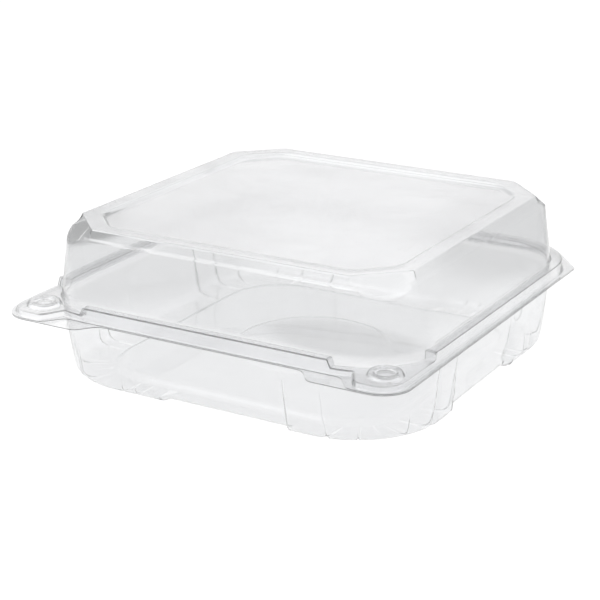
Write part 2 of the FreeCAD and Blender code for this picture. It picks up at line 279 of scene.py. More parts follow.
def rounded(corners):
    """Closed path of a counter-clockwise outline, with each corner's arc as short runs."""
    path = []
    count = len(corners)
    for i in range(count):
        point = Vector(corners[i][:2])
        radius = corners[i][2]
        if radius <= 0:
            path.append(point)
            continue
        before = (Vector(corners[i - 1][:2]) - point).normalized()
        after = (Vector(corners[(i + 1) % count][:2]) - point).normalized()
        half_angle = before.angle(after) / 2
        centre = point + (before + after).normalized() * (radius / math.sin(half_angle))
        first = point + before * (radius / math.tan(half_angle)) - centre
        last = point + after * (radius / math.tan(half_angle)) - centre
        angle = first.angle(last)
        steps = max(2, int(math.degrees(angle) / ARC_STEP))
        for step in range(steps + 1):
            share = step / steps
            mixed = first * math.sin((1 - share) * angle) + last * math.sin(share * angle)
            path.append(centre + mixed / math.sin(angle))
    return path


def inset(corners, distance):
    """Moves every edge of an outline inwards and keeps its corner arcs concentric."""
    count = len(corners)
    lines = []
    for i in range(count):
        start = Vector(corners[i][:2])
        along = (Vector(corners[(i + 1) % count][:2]) - start).normalized()
        lines.append((start + Vector((-along.y, along.x)) * distance, along))
    moved = []
    for i in range(count):
        start_a, along_a = lines[i - 1]
        start_b, along_b = lines[i]
        cross = along_a.x * along_b.y - along_a.y * along_b.x
        gap = start_b - start_a
        point = start_a + along_a * ((gap.x * along_b.y - gap.y * along_b.x) / cross)
        radius = corners[i][2] - distance if cross > 0 else corners[i][2] + distance
        moved.append((point.x, point.y, max(radius, 0.0)))
    return moved


def square(half, radius):
    return [(-half, -half, radius), (half, -half, radius), (half, half, radius), (-half, half, radius)]


def octagon(half, leg, radius):
    near = half - leg
    points = [(-near, -half), (near, -half), (half, -near), (half, near)]
    points += [(near, half), (-near, half), (-half, near), (-half, -near)]
    return [(x, y, radius) for x, y in points]


def flange(tab_start):
    """Outer edge of a flange with its front tabs and its cut corners beside the hinge."""
    front = -FLANGE_HALF - TAB_REACH
    right = [
        (tab_start, -FLANGE_HALF, TAB_BEND_RADIUS),
        (tab_start + TAB_SLOPE, front, TAB_BEND_RADIUS),
        (FLANGE_HALF, front, TAB_CORNER_RADIUS),
        (FLANGE_HALF, FLANGE_HALF - HINGE_CUT_Y, FLANGE_EDGE_RADIUS),
        (FLANGE_HALF - HINGE_CUT_X, FLANGE_HALF, FLANGE_EDGE_RADIUS),
    ]
    return right + [(-x, y, radius) for x, y, radius in reversed(right)]


def platforms(offset):
    """Outline round both tab platforms, drawn in behind the bead between them."""
    front = -FLANGE_HALF - TAB_REACH + PLATFORM_MARGIN
    side = FLANGE_HALF - PLATFORM_MARGIN
    behind = -BEAD_HALF + 2 * PLATFORM_MARGIN
    right = [
        (PLATFORM_START, behind, TAB_BEND_RADIUS),
        (PLATFORM_START + TAB_SLOPE, front, TAB_BEND_RADIUS),
        (side, front, TAB_CORNER_RADIUS - PLATFORM_MARGIN),
        (side, -PIVOT / 2, 0.0),
    ]
    return inset(right + [(-x, y, radius) for x, y, radius in reversed(right)], offset)


def clamped(value):
    return min(max(value, 0.0), 1.0)


def eased(value):
    """Smooth step from 0 to 1."""
    share = clamped(value)
    return share * share * (3 - 2 * share)


def bead_angle(place):
    """Angle of the corner's ray that meets the bead's edge at a place along the side."""
    return math.degrees(math.atan((place - PIVOT) / (BEAD_HALF - PIVOT)))


class Ray:
    """One place round the pack: a ray that every ring of the mesh crosses once."""

    def __init__(self, side, along, angle):
        turn = side * math.pi / 2
        run = Vector((math.cos(turn), math.sin(turn)))
        out = Vector((math.sin(turn), -math.cos(turn)))
        self.side = side
        self.along = along
        self.angle = angle
        if angle is None:
            self.start = run * along + out * (PIVOT / 2)
            self.heading = out
        else:
            lean = math.radians(angle)
            self.start = run * PIVOT + out * PIVOT
            self.heading = out * math.cos(lean) + run * math.sin(lean)

    def reach(self, path):
        """Farthest distance along the ray at which it crosses a closed path."""
        best = 0.0
        for i, point in enumerate(path):
            edge = point - path[i - 1]
            cross = self.heading.x * edge.y - self.heading.y * edge.x
            if abs(cross) < 1e-9:
                continue
            gap = path[i - 1] - self.start
            distance = (gap.x * edge.y - gap.y * edge.x) / cross
            share = (gap.x * self.heading.y - gap.y * self.heading.x) / cross
            if -1e-6 <= share <= 1 + 1e-6 and distance > best:
                best = distance
        return best

    def facet(self, height):
        """Distance along the ray to the plane that cuts this upper corner, at a height in millimetres."""
        if self.angle is None:
            return math.inf
        across = (2 * DOME_TOP_HALF - FACET_LEG) + 2 * FACET_SPREAD / FACET_DROP * (TOP_Z - height)
        toward = abs(self.heading.x) + abs(self.heading.y)
        return (across - 2 * PIVOT) / toward

    def at(self, distance, height):
        place = self.start + self.heading * distance
        return Vector((place.x, place.y, height))

    def tab(self):
        """1 on the low rim behind a tab, 0 where the bead stands, between them on its end slopes."""
        if self.angle is None or self.side not in (0, 3):
            return 0.0
        angle = self.angle if self.side == 0 else 90.0 - self.angle
        front, front_high = bead_angle(BEAD_FRONT_END), bead_angle(BEAD_FRONT_END - BEAD_END_SLOPE)
        side, side_high = 90.0 - bead_angle(BEAD_SIDE_END), 90.0 - bead_angle(BEAD_SIDE_END - BEAD_END_SLOPE)
        rise = (angle - front_high) / (front - front_high)
        fall = (side_high - angle) / (side_high - side)
        return clamped(min(rise, fall))

    def place(self):
        """Distance along the wall from its middle, mirrored on every second side, as the lobes are."""
        return self.along if self.side % 2 == 0 else -self.along


def corner_angles():
    """Angles of the rays in one corner, closer together where the tabs bend, and the same from both ends."""
    angles = set()
    angle = 0.0
    while angle < 45.0:
        fine = FINE_FROM <= angle < FINE_TO
        angles.add(round(angle, 3))
        angle += FINE_STEP if fine else CORNER_STEP
    for end in (BEAD_FRONT_END, BEAD_SIDE_END):
        angles.update(round(bead_angle(place), 3) for place in (end, end - BEAD_END_SLOPE))
    near = DOME_TOP_HALF - FACET_LEG - PIVOT
    angles.add(round(math.degrees(math.atan(near / (DOME_TOP_HALF - PIVOT))), 3))
    return sorted(angles | {round(90.0 - a, 3) for a in angles if a > 0} | {45.0})


def side_places():
    """Places of the rays along one straight side, closer together at the panel's ends and the grooves."""
    places = set()
    steps = int(PIVOT / SIDE_STEP)
    for i in range(-steps, steps + 1):
        places.add(i * SIDE_STEP)
    middles = [GROOVE_PLACE + GROOVE_LEAN / 2, GROOVE_PLACE - GROOVE_LEAN / 2, PANEL_TO, -PANEL_FROM]
    middles += [-place for place in SHORT_GROOVES]
    for middle in middles:
        for shift in SIDE_SHIFTS:
            for sign in (-1, 1):
                place = round(sign * (middle + shift), 3)
                if abs(place) < PIVOT:
                    places.add(place)
    return sorted(places)


def all_rays():
    rays = []
    for side in range(4):
        rays += [Ray(side, place, None) for place in side_places() if place < PIVOT]
        rays += [Ray(side, 0.0, angle) for angle in corner_angles() if angle < 90.0]
    return rays


def softened(points, softness):
    """Profile through its corners, each corner turned into a short curve of its own softness."""
    profile = [points[0]]
    for i in range(1, len(points) - 1):
        soft = softness[i]
        if soft <= 0:
            profile.append(points[i])
            continue
        before = points[i - 1] - points[i]
        after = points[i + 1] - points[i]
        back = before.normalized() * min(soft, before.length * FILLET_SHARE)
        ahead = after.normalized() * min(soft, after.length * FILLET_SHARE)
        for step in range(FILLET_STEPS + 1):
            t = step / FILLET_STEPS
            profile.append(points[i] + back * (1 - t) ** 2 + ahead * t ** 2)
    profile.append(points[-1])
    return profile


def ring_edges(bm, ring):
    return [bm.edges.get((ring[i - 1], ring[i])) for i in range(len(ring))]


def grow(bm, ring, places):
    """Extrudes a ring of vertices outwards to new places and returns the new ring."""
    made = bmesh.ops.extrude_edge_only(bm, edges=ring_edges(bm, ring))["geom"]
    fresh = {item for item in made if isinstance(item, bmesh.types.BMVert)}
    following = []
    for vert, place in zip(ring, places):
        twin = next(e.other_vert(vert) for e in vert.link_edges if e.other_vert(vert) in fresh)
        twin.co = place
        following.append(twin)
    return following


def first_ring(bm, places):
    ring = [bm.verts.new(place) for place in places]
    for i in range(len(ring)):
        bm.edges.new((ring[i - 1], ring[i]))
    return ring


def to_metres(bm):
    """Scales a mesh drawn in millimetres about the pack's middle and puts it in the shared frame."""
    bmesh.ops.scale(bm, vec=(MM, MM, MM), verts=bm.verts)
    bmesh.ops.translate(bm, vec=(0, PACK_Y * MM, 0), verts=bm.verts)


def finished(bm, name, material, body, replaced):
    """Turns a mesh into a piece of the pack, one sheet thick."""
    bm.normal_update()
    mesh = bpy.data.meshes.new(name)
    bm.to_mesh(mesh)
    bm.free()
    for polygon in mesh.polygons:
        polygon.use_smooth = True
    piece = bpy.data.objects.new(name, mesh)
    bpy.context.scene.collection.objects.link(piece)
    mesh.materials.append(material)
    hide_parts(replaced)
    if body:
        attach(piece, body)
    return piece


def thicken(piece, thickness):
    """Gives a sheet its thickness, on the side away from its normals, and keeps its cut edge crisp."""
    solid = piece.modifiers.new("sheet", "SOLIDIFY")
    solid.thickness = thickness
    solid.offset = -1.0
    solid.use_even_offset = True
    solid.use_quality_normals = True
    bpy.context.view_layer.objects.active = piece
    bpy.ops.object.modifier_apply(modifier=solid.name)
    piece.data.set_sharp_from_angle(angle=math.radians(CREASE_ANGLE))


WALL_PATHS = {}
MOUTH_PATHS = {}


def lid_section(half, radius, height):
    """Ring of the dome at one height: a rounded square with its corners cut by the facets."""
    path = rounded(square(half, radius))
    return lambda ray: ray.at(min(ray.reach(path), ray.facet(height)), height)


def fixed_ring(corners, height):
    path = rounded(corners)
    return lambda ray: ray.at(ray.reach(path), height)


def wall_at(height):
    """Half width and corner radius of the dome's wall at a height."""
    share = (height - CONTACT_Z) / (DOME_SHOULDER_Z - CONTACT_Z)
    half = DOME_FOOT_HALF + (DOME_SHOULDER_HALF - DOME_FOOT_HALF) * share
    radius = DOME_FOOT_RADIUS + (DOME_SHOULDER_RADIUS - DOME_FOOT_RADIUS) * share
    return half, radius


def rim_rings(offset, flange_z, tab_start):
    """Rings from the bead's inner edge to the flange's edge, with the low platforms behind the tabs."""
    bead = BEAD_HALF - offset
    top_paths = (rounded(square(bead, BEAD_RADIUS - offset)), rounded(platforms(offset + PLATFORM_DRAFT)))
    foot_paths = (rounded(square(bead + BEAD_DRAFT, BEAD_RADIUS - offset)), rounded(platforms(offset)))
    edge_path = rounded(flange(tab_start))
    bead_z = CONTACT_Z + BEAD_HEIGHT - offset
    low_z = CONTACT_Z + PLATFORM_HEIGHT - offset

    def height(ray):
        return bead_z + (low_z - bead_z) * ray.tab()

    def union(ray, paths):
        reach = ray.reach(paths[0])
        return max(reach, ray.reach(paths[1])) if ray.side in (0, 3) and ray.angle is not None else reach

    return {
        "height": height,
        "top": lambda ray: ray.at(union(ray, top_paths), height(ray)),
        "foot": lambda ray: ray.at(union(ray, foot_paths), flange_z),
        "edge": lambda ray: ray.at(ray.reach(edge_path), flange_z),
    }


def lanes(start, end):
    """Even steps across the ledge, so that the button has enough mesh under it."""
    return [start.lerp(end, (i + 1) / (LANE_COUNT + 1)) for i in range(LANE_COUNT)]


def build_sheet(bm, rays, profile_of, first_fill):
    """Grows rings from the middle to the edge through each ray's profile."""
    profiles = [profile_of(ray) for ray in rays]
    count = len(profiles[0])
    ring = first_ring(bm, [profile[0] for profile in profiles])
    first_fill(bm, ring)
    for level in range(1, count):
        ring = grow(bm, ring, [profile[level] for profile in profiles])
    return ring


def fill_flat(bm, ring):
    """Closes a level ring with one face that looks up."""
    face = bm.faces.new(ring)
    face.normal_update()
    if face.normal.z < 0:
        face.normal_flip()


def button_height(distance):
    """Height of the snap button above its platform, at a distance from its middle."""
    rise = BUTTON_HEIGHT * eased((BUTTON_RADIUS - distance) / BUTTON_WALL)
    sink = BUTTON_DISH_DEPTH * eased((BUTTON_DISH_RADIUS - distance) / BUTTON_WALL)
    inner = BUTTON_DISH_RADIUS - BUTTON_WALL
    crown = BUTTON_CROWN * max(1 - (distance / inner) ** 2, 0.0)
    return rise - sink + crown


def raise_buttons(bm, low_z):
    """Refines the flat platforms round the two buttons and lifts them to the button's shape."""
    for sign in (-1, 1):
        middle = Vector((sign * BUTTON_X, -BUTTON_Y))

        def on_platform(vert, reach):
            return (vert.co.xy - middle).length < reach and abs(vert.co.z - low_z) < LEVEL_TOLERANCE

        for margin in BUTTON_REFINE_MARGINS:
            edges = set()
            for face in bm.faces:
                if all(on_platform(vert, BUTTON_RADIUS + margin) for vert in face.verts):
                    edges.update(face.edges)
            bmesh.ops.subdivide_edges(bm, edges=list(edges), cuts=1, use_grid_fill=True)
        for vert in bm.verts:
            if on_platform(vert, BUTTON_RADIUS):
                vert.co.z += button_height((vert.co.xy - middle).length)


def lid_profile(rings, rim):
    """Profile of the lid along one ray, from its top panel to the edge of its flange."""
    walls = [0.0] * (len(rings) - len(LID_TOP_SOFTNESS)) + [LID_FOOT_SOFTNESS]
    softness = LID_TOP_SOFTNESS + walls + [0.0] * LANE_COUNT + LID_RIM_SOFTNESS

    def profile(ray):
        foot_z = rim["height"](ray)
        half, radius = wall_at(foot_z)
        points = [ring(ray) for ring in rings]
        foot = lid_section_point(ray, half, radius, foot_z)
        points.append(foot)
        top = rim["top"](ray)
        points += lanes(foot, top)
        points += [top, rim["foot"](ray), rim["edge"](ray)]
        return softened(points, softness)

    return profile


def lid_section_point(ray, half, radius, height):
    """Point of the dome's wall at a height of the ray's own."""
    path = WALL_PATHS.setdefault(round(height, 3), rounded(square(half, radius)))
    return ray.at(ray.reach(path), height)


def make_lid(material, thickness):
    """Domed lid, from its recessed top panel to its flange and tabs."""
    rim = rim_rings(0.0, LID_FLANGE_Z + thickness / MM, LID_TAB_START)
    top = octagon(DOME_TOP_HALF, FACET_LEG, RECESS_RADIUS + RIM_WIDTH)
    recess_z = TOP_Z - RECESS_DEPTH
    rings = [
        fixed_ring(inset(top, RIM_WIDTH + 3 * RECESS_DRAFT), recess_z),
        fixed_ring(inset(top, RIM_WIDTH + RECESS_DRAFT / 2), recess_z),
        fixed_ring(inset(top, RIM_WIDTH - RECESS_DRAFT / 2), TOP_Z),
        fixed_ring(octagon(DOME_TOP_HALF, FACET_LEG, 0.0), TOP_Z),
        lid_section(DOME_STEP_HALF, DOME_SHOULDER_RADIUS, DOME_STEP_Z),
        lid_section(DOME_SHOULDER_HALF, DOME_SHOULDER_RADIUS, DOME_SHOULDER_Z),
    ]
    facet_foot = TOP_Z - FACET_DROP
    for step in range(1, FACET_WALL_STEPS + 1):
        height = DOME_SHOULDER_Z + (facet_foot - FACET_FOOT_GAP - DOME_SHOULDER_Z) * step / FACET_WALL_STEPS
        rings.append(lid_section(*wall_at(height), height))
    for share in FOOT_WALL_SHARES:
        height = facet_foot + (CONTACT_Z + BEAD_HEIGHT - facet_foot) * share
        rings.append(lid_section(*wall_at(height), height))
    bm = bmesh.new()
    build_sheet(bm, all_rays(), lid_profile(rings, rim), fill_flat)
    raise_buttons(bm, CONTACT_Z + PLATFORM_HEIGHT)
    to_metres(bm)
    piece = finished(bm, "lid_shell", material, "lid", "lid")
    thicken(piece, thickness)
    return piece


def groove_shape(distance, width):
    return max(1 - abs(distance) / width, 0.0)


def wall_depth(ray, height):
    """How far the tray's wall is drawn in at a place and height, by its panel, grooves and notches."""
    low = max(1 - height / PANEL_TOP_Z, 0.0)
    foot = max(1 - height / SHORT_GROOVE_TOP_Z, 0.0)
    if ray.angle is not None:
        from_end = min(ray.angle, 90.0 - ray.angle)
        return CORNER_NOTCH_DEPTH * foot * groove_shape(from_end - CORNER_NOTCH_ANGLE, CORNER_NOTCH_WIDTH)
    place = ray.place()
    start = PANEL_FROM - PANEL_SPREAD * low
    end = PANEL_TO + PANEL_SPREAD * low
    inside = min(place - start, end - place)
    fade = min(LINE_FADE * low, 1.0)
    depth = PANEL_DEPTH * low * eased((inside + PANEL_END_RAMP / 2) / PANEL_END_RAMP)
    depth += PANEL_LINE_DEPTH * fade * groove_shape(place - end, PANEL_LINE_WIDTH)
    middle = GROOVE_PLACE + GROOVE_LEAN * (low - 0.5)
    groove = GROOVE_DEPTH * fade + (GROOVE_FOOT_DEPTH - GROOVE_DEPTH) * low ** GROOVE_FOOT_POWER
    depth += groove * groove_shape(place - middle, GROOVE_WIDTH + low)
    for short in SHORT_GROOVES:
        depth += SHORT_GROOVE_DEPTH * foot * groove_shape(place - short, GROOVE_WIDTH)
    return depth


def tray_wall(half, radius, height, thickness):
    path = rounded(square(half - thickness, radius - thickness))
    return lambda ray: ray.at(ray.reach(path) - wall_depth(ray, height), height)


def foot_lift(ray):
    """Small rise of the foot under each groove."""
    if ray.angle is not None:
        return 0.0
    return FOOT_LIFT * max(wall_depth(ray, 0.0) - PANEL_DEPTH * FOOT_LIFT_FROM, 0.0)


def tray_profile(rings, rim, sheet):
    """Profile of the tray along one ray, from its floor to the edge of its flange."""
    walls = [0.0] * (len(rings) - len(TRAY_FLOOR_SOFTNESS)) + [TRAY_MOUTH_SOFTNESS]
    softness = TRAY_FLOOR_SOFTNESS + walls + [0.0] * LANE_COUNT + TRAY_RIM_SOFTNESS

    def profile(ray):
        mouth_z = rim["height"](ray)
        points = [ring(ray) for ring in rings]
        share = (mouth_z - CONTACT_Z) / BEAD_HEIGHT
        half = TRAY_WAIST_HALF + (TRAY_MOUTH_HALF - TRAY_WAIST_HALF) * share - sheet
        path = MOUTH_PATHS.setdefault(round(mouth_z, 3), rounded(square(half, TRAY_MOUTH_RADIUS - sheet)))
        mouth = ray.at(ray.reach(path), mouth_z)
        top = rim["top"](ray)
        points.append(mouth)
        points += lanes(mouth, top)
        points += [top, rim["foot"](ray), rim["edge"](ray)]
        return softened(points, softness)

    return profile


def fill_round_middle(bm, ring):
    """Fills the tray's floor round its raised disc, and makes the disc."""
    floor_z = ring[0].co.z
    outer = DISC_LEVELS[0][0]
    circle = bmesh.ops.create_circle(bm, cap_ends=False, segments=DISC_SEGMENTS, radius=outer)["verts"]
    bmesh.ops.translate(bm, vec=(0, 0, floor_z), verts=circle)
    edges = ring_edges(bm, ring) + list({edge for vert in circle for edge in vert.link_edges})
    made = bmesh.ops.triangle_fill(bm, edges=edges, use_beauty=True, normal=(0, 0, 1))
    for item in made["geom"]:
        if isinstance(item, bmesh.types.BMFace) and item.normal.z < 0:
            item.normal_flip()
    ordered = sorted(circle, key=lambda v: math.atan2(v.co.y, v.co.x))
    for radius, rise in DISC_LEVELS[1:]:
        places = [Vector((v.co.x, v.co.y)).normalized() * radius for v in ordered]
        ordered = grow(bm, ordered, [(p.x, p.y, floor_z + rise) for p in places])
    fill_flat(bm, ordered)


def make_tray(material, thickness):
    """Deep tray, from its raised floor to its flange and tabs."""
    sheet = thickness / MM
    rim = rim_rings(SHELL_GAP, TRAY_FLANGE_Z, TRAY_TAB_START)
    floor_z = FLOOR_RISE + sheet
    foot_path = rounded(square(TRAY_FOOT_HALF - sheet, TRAY_FOOT_RADIUS - sheet))
    rings = [
        fixed_ring(square(FLOOR_HALF - 2 * FLOOR_SLOPE, FLOOR_RADIUS - 2 * FLOOR_SLOPE), floor_z),
        fixed_ring(square(FLOOR_HALF - FLOOR_SLOPE, FLOOR_RADIUS - FLOOR_SLOPE), floor_z),
        fixed_ring(square(FLOOR_HALF, FLOOR_RADIUS), sheet),
        lambda ray: ray.at(ray.reach(foot_path) - wall_depth(ray, 0.0), sheet + foot_lift(ray)),
    ]
    waist_z = CONTACT_Z - sheet
    for height in (*TRAY_WALL_HEIGHTS, waist_z):
        share = height / waist_z
        half = TRAY_FOOT_HALF + (TRAY_WAIST_HALF - TRAY_FOOT_HALF) * share
        radius = TRAY_FOOT_RADIUS + (TRAY_MOUTH_RADIUS - TRAY_FOOT_RADIUS) * share
        rings.append(tray_wall(half, radius, height, sheet))
    bm = bmesh.new()
    build_sheet(bm, all_rays(), tray_profile(rings, rim, sheet), fill_round_middle)
    raise_buttons(bm, CONTACT_Z + PLATFORM_HEIGHT - SHELL_GAP)
    to_metres(bm)
    piece = finished(bm, "tray_shell", material, "tray", "base_tray")
    thicken(piece, thickness)
    return piece


def make_hinge(material):
    """Thin strip that bulges out behind the two flanges."""
    low, high = HINGE_LOW, HINGE_HIGH
    film = HINGE_FILM * MM
    middle_z = CONTACT_Z * MM
    reach = (high[2] - low[2]) / 2 - film / 2
    bulge = high[1] - low[1] - film / 2
    bm = bmesh.new()
    column = []
    for i in range(HINGE_ARC_STEPS + 1):
        angle = math.pi * (i / HINGE_ARC_STEPS - 0.5)
        place = (low[0], low[1] + bulge * math.cos(angle), middle_z + reach * math.sin(angle))
        column.append(bm.verts.new(place))
    edges = [bm.edges.new((column[i], column[i + 1])) for i in range(HINGE_ARC_STEPS)]
    step = (high[0] - low[0]) / HINGE_LENGTH_STEPS
    for _ in range(HINGE_LENGTH_STEPS):
        made = bmesh.ops.extrude_edge_only(bm, edges=edges)["geom"]
        verts = [item for item in made if isinstance(item, bmesh.types.BMVert)]
        bmesh.ops.translate(bm, vec=(step, 0, 0), verts=verts)
        edges = [e for e in made if isinstance(e, bmesh.types.BMEdge)]
    bm.normal_update()
    if sum(face.normal.y for face in bm.faces) < 0:
        bmesh.ops.reverse_faces(bm, faces=bm.faces)
    bmesh.ops.solidify(bm, geom=bm.faces[:], thickness=film / 2)
    bm.normal_update()
    piece = finished(bm, "hinge_strip", material, None, "living_hinge")
    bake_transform(piece)
    return piece


def empty_tree(owner):
    """Cleared nodes and links of a material or world."""
    owner.use_nodes = True
    owner.node_tree.nodes.clear()
    return owner.node_tree.nodes, owner.node_tree.links


def put(links, value, socket):
    """Feeds a socket from another socket, or sets it to a constant."""
    if isinstance(value, bpy.types.NodeSocket):
        links.new(value, socket)
    else:
        socket.default_value = value


def math_node(nodes, links, operation, *values):
    node = nodes.new("ShaderNodeMath")
    node.operation = operation
    for value, socket in zip(values, node.inputs):
        put(links, value, socket)
    return node.outputs[0]


def smooth_ramp(nodes, links, value, start, end, low=0.0, high=1.0):
    """Smooth change from low to high as a value goes from start to end."""
    node = nodes.new("ShaderNodeMapRange")
    node.interpolation_type = "SMOOTHSTEP"
    for name, constant in (("From Min", start), ("From Max", end), ("To Min", low), ("To Max", high)):
        node.inputs[name].default_value = constant
    links.new(value, node.inputs["Value"])
    return node.outputs["Result"]


def length_of(nodes, links, vector):
    node = nodes.new("ShaderNodeVectorMath")
    node.operation = "LENGTH"
    links.new(vector, node.inputs[0])
    return node.outputs["Value"]


def tinted(nodes, links, factor, base, colour):
    """Colour that goes from a base to a constant one as the factor goes from 0 to 1."""
    mix = nodes.new("ShaderNodeMix")
    mix.data_type = "RGBA"
    links.new(factor, mix.inputs[0])
    links.new(base, mix.inputs[6])
    mix.inputs[7].default_value = (*colour, 1.0)
    return mix.outputs[2]


def band(nodes, links, height, low, high, soft):
    """1 between two heights in millimetres and 0 outside them, with soft ends."""
    rise = smooth_ramp(nodes, links, height, (low - soft) * MM, (low + soft) * MM)
    fall = smooth_ramp(nodes, links, height, (high + soft) * MM, (high - soft) * MM)
    return math_node(nodes, links, "MULTIPLY", rise, fall)


def drawn_sheet_group():
    """Look of a drawn sheet: faint waves, patchy haze, and a hazier rim band and top panel whose paler tint
    is painted light.
    """
    group = bpy.data.node_groups.new("drawn_sheet", "ShaderNodeTree")
    tint_in = group.interface.new_socket(name="Tint", in_out="INPUT", socket_type="NodeSocketColor")
    tint_in.default_value = (0.9, 0.9, 0.9, 1.0)
    for name, value in (("Wave Scale", 22.0), ("Wave Height", 0.3), ("Haze Low", 0.0), ("Haze High", 0.1)):
        socket = group.interface.new_socket(name=name, in_out="INPUT", socket_type="NodeSocketFloat")
        socket.default_value = value
    group.interface.new_socket(name="Color", in_out="OUTPUT", socket_type="NodeSocketColor")
    group.interface.new_socket(name="Normal", in_out="OUTPUT", socket_type="NodeSocketVector")
    group.interface.new_socket(name="Roughness", in_out="OUTPUT", socket_type="NodeSocketFloat")
    nodes, links = group.nodes, group.links
    given = nodes.new("NodeGroupInput")
    result = nodes.new("NodeGroupOutput")
    place = nodes.new("ShaderNodeTexCoord")
    parts = nodes.new("ShaderNodeSeparateXYZ")
    links.new(place.outputs["Object"], parts.inputs[0])
    wave = nodes.new("ShaderNodeTexNoise")
    wave.inputs["Detail"].default_value = WAVE_DETAIL
    links.new(place.outputs["Object"], wave.inputs["Vector"])
    links.new(given.outputs["Wave Scale"], wave.inputs["Scale"])
    bump = nodes.new("ShaderNodeBump")
    bump.inputs["Distance"].default_value = WAVE_DISTANCE
    links.new(wave.outputs["Fac"], bump.inputs["Height"])
    links.new(given.outputs["Wave Height"], bump.inputs["Strength"])
    links.new(bump.outputs["Normal"], result.inputs["Normal"])
    haze = nodes.new("ShaderNodeTexNoise")
    haze.inputs["Scale"].default_value = HAZE_SCALE
    haze.inputs["Detail"].default_value = HAZE_DETAIL
    links.new(place.outputs["Object"], haze.inputs["Vector"])
    spread = nodes.new("ShaderNodeMapRange")
    spread.inputs["From Min"].default_value = HAZE_SPREAD[0]
    spread.inputs["From Max"].default_value = HAZE_SPREAD[1]
    links.new(haze.outputs["Fac"], spread.inputs["Value"])
    links.new(given.outputs["Haze Low"], spread.inputs["To Min"])
    links.new(given.outputs["Haze High"], spread.inputs["To Max"])
    panel_z = TOP_Z - RECESS_DEPTH
    facing = nodes.new("ShaderNodeSeparateXYZ")
    links.new(place.outputs["Normal"], facing.inputs[0])
    flat = math_node(
        nodes, links, "GREATER_THAN", math_node(nodes, links, "ABSOLUTE", facing.outputs["Z"]), FLAT_FACING
    )
    near_top = band(nodes, links, parts.outputs["Z"], panel_z - TOP_MARGIN, TOP_Z + TOP_MARGIN, TOP_SOFT)
    haze_and_painted_light_top = math_node(nodes, links, "MULTIPLY", flat, near_top)
    rim = band(nodes, links, parts.outputs["Z"], RIM_BAND_LOW, RIM_BAND_HIGH, RIM_SOFT)
    rough = spread.outputs["Result"]
    for mask, local_haze in ((haze_and_painted_light_top, TOP_HAZE), (rim, RIM_HAZE)):
        rough = math_node(nodes, links, "MAXIMUM", rough, blended(nodes, links, mask, 0.0, local_haze))
    links.new(rough, result.inputs["Roughness"])
    # Paler tint in the rim band: painted light that lightens the dark lines along the bead's edges
    clear = tinted(nodes, links, rim, given.outputs["Tint"], RIM_PAINTED_LIGHT_TINT)
    # Paler tint on the top panel's flat faces: painted light; the same mask's extra roughness is haze
    links.new(tinted(nodes, links, haze_and_painted_light_top, clear, TOP_PAINTED_LIGHT_TINT), result.inputs["Color"])
    return group


def clear_plastic(name, group, tint, haze, wave):
    """Clear sheet that lets most lamp light through, so that its shadow stays faint."""
    material = bpy.data.materials.new(name)
    nodes, links = empty_tree(material)
    sheet = nodes.new("ShaderNodeGroup")
    sheet.node_tree = group
    sheet.inputs["Tint"].default_value = (*tint, 1.0)
    sheet.inputs["Wave Height"].default_value = wave
    sheet.inputs["Haze Low"].default_value = haze * HAZE_LOW_SHARE
    sheet.inputs["Haze High"].default_value = haze
    plastic = nodes.new("ShaderNodeBsdfPrincipled")
    plastic.inputs["Metallic"].default_value = 0.0
    plastic.inputs["Transmission Weight"].default_value = 1.0
    plastic.inputs["IOR"].default_value = PLASTIC_IOR
    links.new(sheet.outputs["Color"], plastic.inputs["Base Color"])
    links.new(sheet.outputs["Roughness"], plastic.inputs["Roughness"])
    links.new(sheet.outputs["Normal"], plastic.inputs["Normal"])
    through = nodes.new("ShaderNodeBsdfTransparent")
    through.inputs["Color"].default_value = (THROUGH_SHADE, THROUGH_SHADE, THROUGH_SHADE, 1.0)
    unseen = ray_mask(nodes, links, ["Is Shadow Ray", "Is Diffuse Ray"])
    mix = nodes.new("ShaderNodeMixShader")
    links.new(unseen, mix.inputs["Fac"])
    links.new(plastic.outputs["BSDF"], mix.inputs[1])
    links.new(through.outputs["BSDF"], mix.inputs[2])
    output = nodes.new("ShaderNodeOutputMaterial")
    links.new(mix.outputs["Shader"], output.inputs["Surface"])
    return material


def ray_mask(nodes, links, names):
    """1 for the named kinds of ray, and 0 for all others."""
    path = nodes.new("ShaderNodeLightPath")
    total = path.outputs[names[0]]
    for name in names[1:]:
        total = math_node(nodes, links, "MAXIMUM", total, path.outputs[name])
    return total


def blended(nodes, links, factor, low, high):
    """Value that goes from one input to the other as the factor goes from 0 to 1."""
    mix = nodes.new("ShaderNodeMix")
    mix.data_type = "FLOAT"
    links.new(factor, mix.inputs[0])
    put(links, low, mix.inputs[2])
    put(links, high, mix.inputs[3])
    return mix.outputs[0]


def shaded_spot(nodes, links, place, through, level, name, middle, radii, depth):
    """Takes an oval patch of shade out of a light level, for rays that come through the plastic."""
    spot = nodes.new("ShaderNodeMapping")
    spot.name = name
    spot.vector_type = "TEXTURE"
    spot.inputs["Location"].default_value = (*middle, 0.0)
    spot.inputs["Scale"].default_value = (*radii, 1.0)
    links.new(place, spot.inputs["Vector"])
    distance = length_of(nodes, links, spot.outputs["Vector"])
    shade = smooth_ramp(nodes, links, distance, *SPOT_EDGE, depth, 0.0)
    rest = math_node(nodes, links, "SUBTRACT", 1.0, math_node(nodes, links, "MULTIPLY", shade, through))
    return math_node(nodes, links, "MULTIPLY", rest, level)


